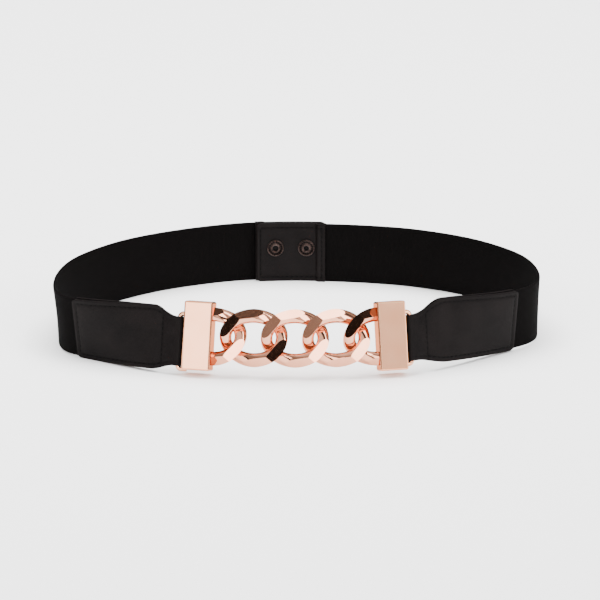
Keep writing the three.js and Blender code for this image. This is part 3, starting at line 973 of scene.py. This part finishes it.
class Shader(Nodes):
    """A material with its surface and the places that its patterns follow."""

    def __init__(self, name):
        self.material = bpy.data.materials.new(name)
        self.material.use_nodes = True
        super().__init__(self.material.node_tree)
        self.surface = self.tree.nodes["Principled BSDF"]
        places = self.node("ShaderNodeTexCoord")
        self.object_place = places.outputs["Object"]
        self.cut_place = places.outputs["UV"]

    def noise(self, scale, place=None, detail=3, **inputs):
        node = self.node("ShaderNodeTexNoise", {}, {"Vector": place or self.object_place,
                                                    "Scale": scale, "Detail": detail, **inputs})
        return Value(self, node.outputs["Fac"])

    def stored(self, name):
        """A value that the mesh carries, 0 on a mesh without it."""
        return self.value("ShaderNodeAttribute", "Fac", {"attribute_name": name})

    def cells(self, scale):
        node = self.node("ShaderNodeTexVoronoi", {"feature": "DISTANCE_TO_EDGE"},
                         {"Vector": self.object_place, "Scale": scale})
        return Value(self, node.outputs["Distance"])

    def cut(self):
        """Place on the flat cut, in metres: along and height."""
        node = self.node("ShaderNodeSeparateXYZ", {}, {"Vector": self.cut_place})
        return Value(self, node.outputs["X"]), Value(self, node.outputs["Y"])

    def tint(self, share, low, high):
        node = self.node("ShaderNodeMix", {"data_type": "RGBA"},
                         {"Factor": share, 6: (*low, 1), 7: (*high, 1)})
        return node.outputs[2]

    def blend(self, share, low, high):
        node = self.node("ShaderNodeMix", {"data_type": "RGBA"},
                         {"Factor": share, 6: low, 7: (*high, 1)})
        return node.outputs[2]

    def bump(self, height, distance, strength=1.0):
        node = self.node("ShaderNodeBump", {}, {"Height": height, "Distance": distance,
                                                "Strength": strength})
        return node.outputs["Normal"]


LEATHER_TONES = (0.0026, 0.0019, 0.0019), (0.0056, 0.0042, 0.0041)
# A warmer, lighter tone that the leather takes on along its bottom edge
BOTTOM_EDGE_TONE = (0.03, 0.017, 0.011)
# Painted shade in the leather's stitched grooves
GROOVE_SHADE_TONE = (0.0004, 0.0003, 0.0003)
WEBBING_TONES = (0.0009, 0.0008, 0.0008), (0.0036, 0.003, 0.003)
THREAD_TONES = (0.0004, 0.0003, 0.0003), (0.0015, 0.0011, 0.0011)
CHAIN_TONES = (0.69, 0.31, 0.19), (0.77, 0.37, 0.24)
BAR_TONES = (0.86, 0.40, 0.225), (0.90, 0.44, 0.26)
# Painted shade on the bars' side faces
FLANK_SHADE_TONE = (0.42, 0.16, 0.09)
METAL_EDGE_TINT = (0.8, 0.46, 0.35, 1)
SNAP_TONES = (0.012, 0.008, 0.007), (0.092, 0.062, 0.054)
# Painted shade in the studs' ridged recess and eye
SNAP_SHADE_TONE = (0.0008, 0.0006, 0.0006)
FLOOR_TONES = (0.86, 0.86, 0.86), (0.88, 0.88, 0.88)

# Spacing of the webbing's warp cords and weft picks, in metres
CORD_SPACING = 0.00135
PICK_SPACING = 0.00082


def leather_material():
    """Dark brown-black smooth leather: fine pebbled grain, soft sheen, a warmer, lighter band
    along the bottom edge and painted shade in the stitched grooves.
    """
    shader = Shader("leather")
    grain = shader.cells(1150).clamped(0.0, 0.25)
    pores = shader.noise(5200, detail=2)
    creases = shader.noise(420, detail=5, Distortion=0.6)
    cloud = shader.noise(55, detail=4)
    _, height = shader.cut()
    # A warmer, lighter band along the bottom edge, patchy with the cloud
    bottom_band = (0 - height * 1000).clamped(18.2, 18.85) * (0.4 + cloud)
    colour = shader.tint(cloud.clamped(0.3, 0.7), *LEATHER_TONES)
    colour = shader.blend(bottom_band.clamped(0.35, 1.2), colour, BOTTOM_EDGE_TONE)
    # Painted shade: darker in the stitched grooves, by the groove depth that the mesh carries as
    # the seam attribute
    colour = shader.blend(shader.stored("seam") * 0.5, colour, GROOVE_SHADE_TONE)
    relief = grain * 0.55 + pores * 0.25 + creases * 0.5
    shader.feed(shader.surface, {
        "Base Color": colour,
        "Roughness": 0.4 + cloud * 0.16 + (1 - grain) * 0.1,
        "Normal": shader.bump(relief, 0.00011, 0.9),
        "Specular IOR Level": 0.055,
    })
    return shader.material


def webbing_material():
    """Matte black elastic: rows of warp cords along the band, crossed by fine weft picks."""
    shader = Shader("elastic_webbing")
    along, height = shader.cut()
    cords = (height * (2 * math.pi / CORD_SPACING)).sin()
    picks = (along * (2 * math.pi / PICK_SPACING) + cords * 1.2).sin()
    weave = cords.abs() * 0.55 + (picks * 0.5 + 0.5) * 0.65
    selvedge = (height.abs() * 1000).clamped(16.6, 17.2)
    fibre = shader.noise(6500, detail=2)
    lint = shader.noise(90, detail=4)
    shade_share = (weave * 0.45 + fibre * 0.5 + lint * 0.25).clamped(0.15, 1.1)
    colour = shader.tint(shade_share, *WEBBING_TONES)
    shader.feed(shader.surface, {
        "Base Color": colour,
        "Roughness": 0.86 + fibre * 0.12,
        "Normal": shader.bump(weave * (1 - selvedge * 0.6) + fibre * 0.3, 0.0002, 0.9),
        "Specular IOR Level": 0.03,
    })
    return shader.material


def thread_material():
    """Waxed black thread with its twist."""
    shader = Shader("thread")
    twist = shader.noise(2600, detail=2)
    colour = shader.tint(twist, *THREAD_TONES)
    shader.feed(shader.surface, {"Base Color": colour, "Roughness": 0.42 + twist * 0.2,
                                 "Normal": shader.bump(twist, 0.00008),
                                 "Specular IOR Level": 0.04})
    return shader.material


def rose_gold_material(name, tones, roughness, waviness):
    """Plated rose gold: polish haze, faint hairlines and slow changes of tone, and painted shade
    on the bar block's side faces.
    """
    shader = Shader(name)
    haze = shader.noise(70, detail=5)
    stretched = shader.node("ShaderNodeMapping", {}, {"Vector": shader.object_place,
                                                      "Scale": (1.0, 1.0, 14.0)})
    hairlines = shader.noise(900, stretched.outputs[0], detail=3)
    wobble = shader.noise(46, detail=1)
    colour = shader.tint(haze.clamped(0.3, 0.7), *tones)
    shader.feed(shader.surface, {
        # Painted shade: a deeper tone on the bar block's side faces
        "Base Color": shader.blend(shader.stored("flank_shade") * 0.75, colour, FLANK_SHADE_TONE),
        "Metallic": 1.0,
        "Specular Tint": METAL_EDGE_TINT,
        "Roughness": roughness + haze * 0.03 + hairlines * 0.03,
        "Normal": shader.bump(wobble + hairlines * 0.01, waviness),
    })
    return shader.material


def snap_material():
    """Antique brown plating worn to warm metal on the ridges, with painted shade darkening the
    hollows and the eye.
    """
    shader = Shader("antique_snap")
    tarnish = shader.noise(750, detail=5)
    speck = shader.noise(2600, detail=3)
    worn = (tarnish * 0.8 + speck * 0.4).clamped(0.45, 0.8)
    colour = shader.tint(worn, *SNAP_TONES)
    shader.feed(shader.surface, {
        # Painted shade in the stud's recess and eye
        "Base Color": shader.blend(shader.stored("hollow_shade") * 0.95, colour, SNAP_SHADE_TONE),
        "Metallic": 0.92,
        "Roughness": 0.22 + tarnish * 0.25,
        "Normal": shader.bump(speck, 0.00006),
    })
    return shader.material


def floor_material():
    shader = Shader("pale_floor")
    mottle = shader.noise(3, detail=2)
    shader.feed(shader.surface, {"Base Color": shader.tint(mottle, *FLOOR_TONES),
                                 "Roughness": 0.75})
    return shader.material


# Studio

CAMERA_TARGET = Vector((1.72, -6.0, 19.0)) * MM
CAMERA_DISTANCE = 3.0
CAMERA_ELEVATION = 16.0
LENS = 297.2


def aimed(thing, place, target):
    thing.location = place
    thing.rotation_euler = (Vector(target) - Vector(place)).to_track_quat("-Z", "Y").to_euler()


def add_camera():
    camera = bpy.data.objects.new("camera", bpy.data.cameras.new("camera"))
    bpy.context.collection.objects.link(camera)
    camera.data.lens = LENS
    camera.data.sensor_width = 36
    camera.data.clip_end = 50
    raised = math.radians(CAMERA_ELEVATION)
    back = Vector((0, -math.cos(raised), math.sin(raised))) * CAMERA_DISTANCE
    aimed(camera, CAMERA_TARGET + back, CAMERA_TARGET)
    bpy.context.scene.camera = camera


def add_floor():
    bpy.ops.object.select_all(action="DESELECT")
    bpy.ops.mesh.primitive_plane_add(size=12, location=(0, 0, 0))
    floor = started("floor")
    floor.data.materials.append(floor_material())


def softbox(name, place, size, power):
    light = bpy.data.lights.new(name, "AREA")
    light.shape = "RECTANGLE"
    light.size, light.size_y = size
    light.energy = power
    lamp = bpy.data.objects.new(name, light)
    bpy.context.collection.objects.link(lamp)
    lamp.visible_glossy = False
    aimed(lamp, place, (0, 0, 0.02))


# The studio round the belt, as (bearing from the front, height) ranges in degrees, with how
# bright each white box or dark gap is and how soft its sides are
STUDIO_BASE = 0.45
STUDIO_TOP = 1.6
STUDIO_PANELS = [
    ((-44, -12), (9.8, 26), 5.5, 0.8),
    ((14, 75), (4, 15.2), 1.55, 0.6),
    ((22.5, 70), (16, 38), 9.0, 0.8),
    ((-12, 11.5), (14, 40), 9.0, 0.8),
    ((11.5, 22.5), (15.5, 44), 0.02, 0.6),
    ((-62, -32.5), (-2, 8.6), 0.02, 0.6),
    ((-11.5, 3), (-2, 12), 0.02, 0.6),
    ((54, 81), (48, 67.5), 9.0, 1.0),
    ((81, 96), (20, 62), 0.04, 1.5),
    ((10, 54), (55, 75), 0.12, 2.0),
    ((-170, -66), (0, 12), 0.1, 4.0),
    ((80, 170), (0, 12), 0.1, 4.0),
]


def studio_world():
    """Soft white boxes and dark gaps between them, for the metal to show."""
    world = bpy.data.worlds.new("studio")
    bpy.context.scene.world = world
    world.use_nodes = True
    nodes = Nodes(world.node_tree)
    way = nodes.node("ShaderNodeTexCoord").outputs["Generated"]
    split = nodes.node("ShaderNodeSeparateXYZ", {}, {"Vector": way})
    x, y, z = (Value(nodes, split.outputs[i]) for i in range(3))
    bearing = x.math("ARCTAN2", x, 0 - y) * (180 / math.pi)
    height = z.math("ARCSINE", z) * (180 / math.pi)
    light = STUDIO_BASE + height.clamped(35, 60, "SMOOTHSTEP") * (STUDIO_TOP - STUDIO_BASE)
    for (left, right), (low, high), strength, soft in STUDIO_PANELS:
        mask = bearing.between(left, right, soft) * height.between(low, high, soft)
        light = light * (1 - mask) + mask * strength
    nodes.feed(world.node_tree.nodes["Background"], {"Color": (1, 1, 1, 1), "Strength": light})


def add_lights():
    softbox("overhead", (0.0, 0.5, 2.2), (2.6, 2.0), 215)
    softbox("key", (-1.6, -1.4, 1.6), (0.9, 1.2), 22)


# Putting it together

def dressed(piece, material, slot, *nodes):
    piece.data.materials.clear()
    piece.data.materials.append(material)
    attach(piece, "root")
    if nodes:
        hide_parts(*nodes)
    return piece


def build():
    routes = {
        "left": Route(SIDES["left"], SIDES["right"]),
        "right": Route(SIDES["right"], SIDES["left"]),
    }
    leather = leather_material()
    elastic = webbing_material()
    thread = thread_material()
    chain_metal = rose_gold_material("rose_gold_polish", CHAIN_TONES, 0.03, 0.000006)
    bar_metal = rose_gold_material("rose_gold_bar", BAR_TONES, 0.07, 0.000002)
    snap_metal = snap_material()

    for key, route in routes.items():
        tab = front_tab(f"dress_tab_{key}", route)
        dressed(tab, leather, "leather", f"front_tab_{key}")
        dressed(tab_stitches(f"dress_tab_thread_{key}", route), thread, "leather")
        band, length = webbing_band(f"dress_webbing_{key}", route)
        dressed(band, elastic, "webbing", f"webbing_{key}")
        length * MM
        bar = end_bar(f"dress_bar_{key}", route.side)
        dressed(bar, bar_metal, "rose_gold_satin", f"bar_{key}")
        dressed(half_link(f"dress_half_link_{key}", route.side), chain_metal, "rose_gold")

    for i in range(LINK_COUNT):
        link = curb_link(f"dress_link_{i + 1}", (i - (LINK_COUNT - 1) / 2) * LINK_PITCH)
        dressed(link, chain_metal, "rose_gold", f"link_{i + 1}")

    for name, route in (("inner", routes["right"]), ("outer", routes["left"])):
        tab = closure_tab(f"dress_closure_{name}", route)
        dressed(tab, leather, "leather", f"closure_tab_{name}")
        dressed(closure_stitches(f"dress_closure_thread_{name}", route), thread, "leather")

    for i, position in enumerate((-STUD_SPACING / 2, STUD_SPACING / 2)):
        matrix = closure_matrix(routes["right"], position)
        stud = press_stud(f"dress_stud_{i + 1}", matrix, STUD_EYES[i])
        dressed(stud, snap_metal, "stud_metal", f"stud_{i + 1}")
        cap = socket_cap(f"dress_socket_{i + 1}", matrix)
        dressed(cap, snap_metal, "stud_metal", f"socket_{i + 1}")


add_camera()
add_floor()
add_lights()
studio_world()
build()
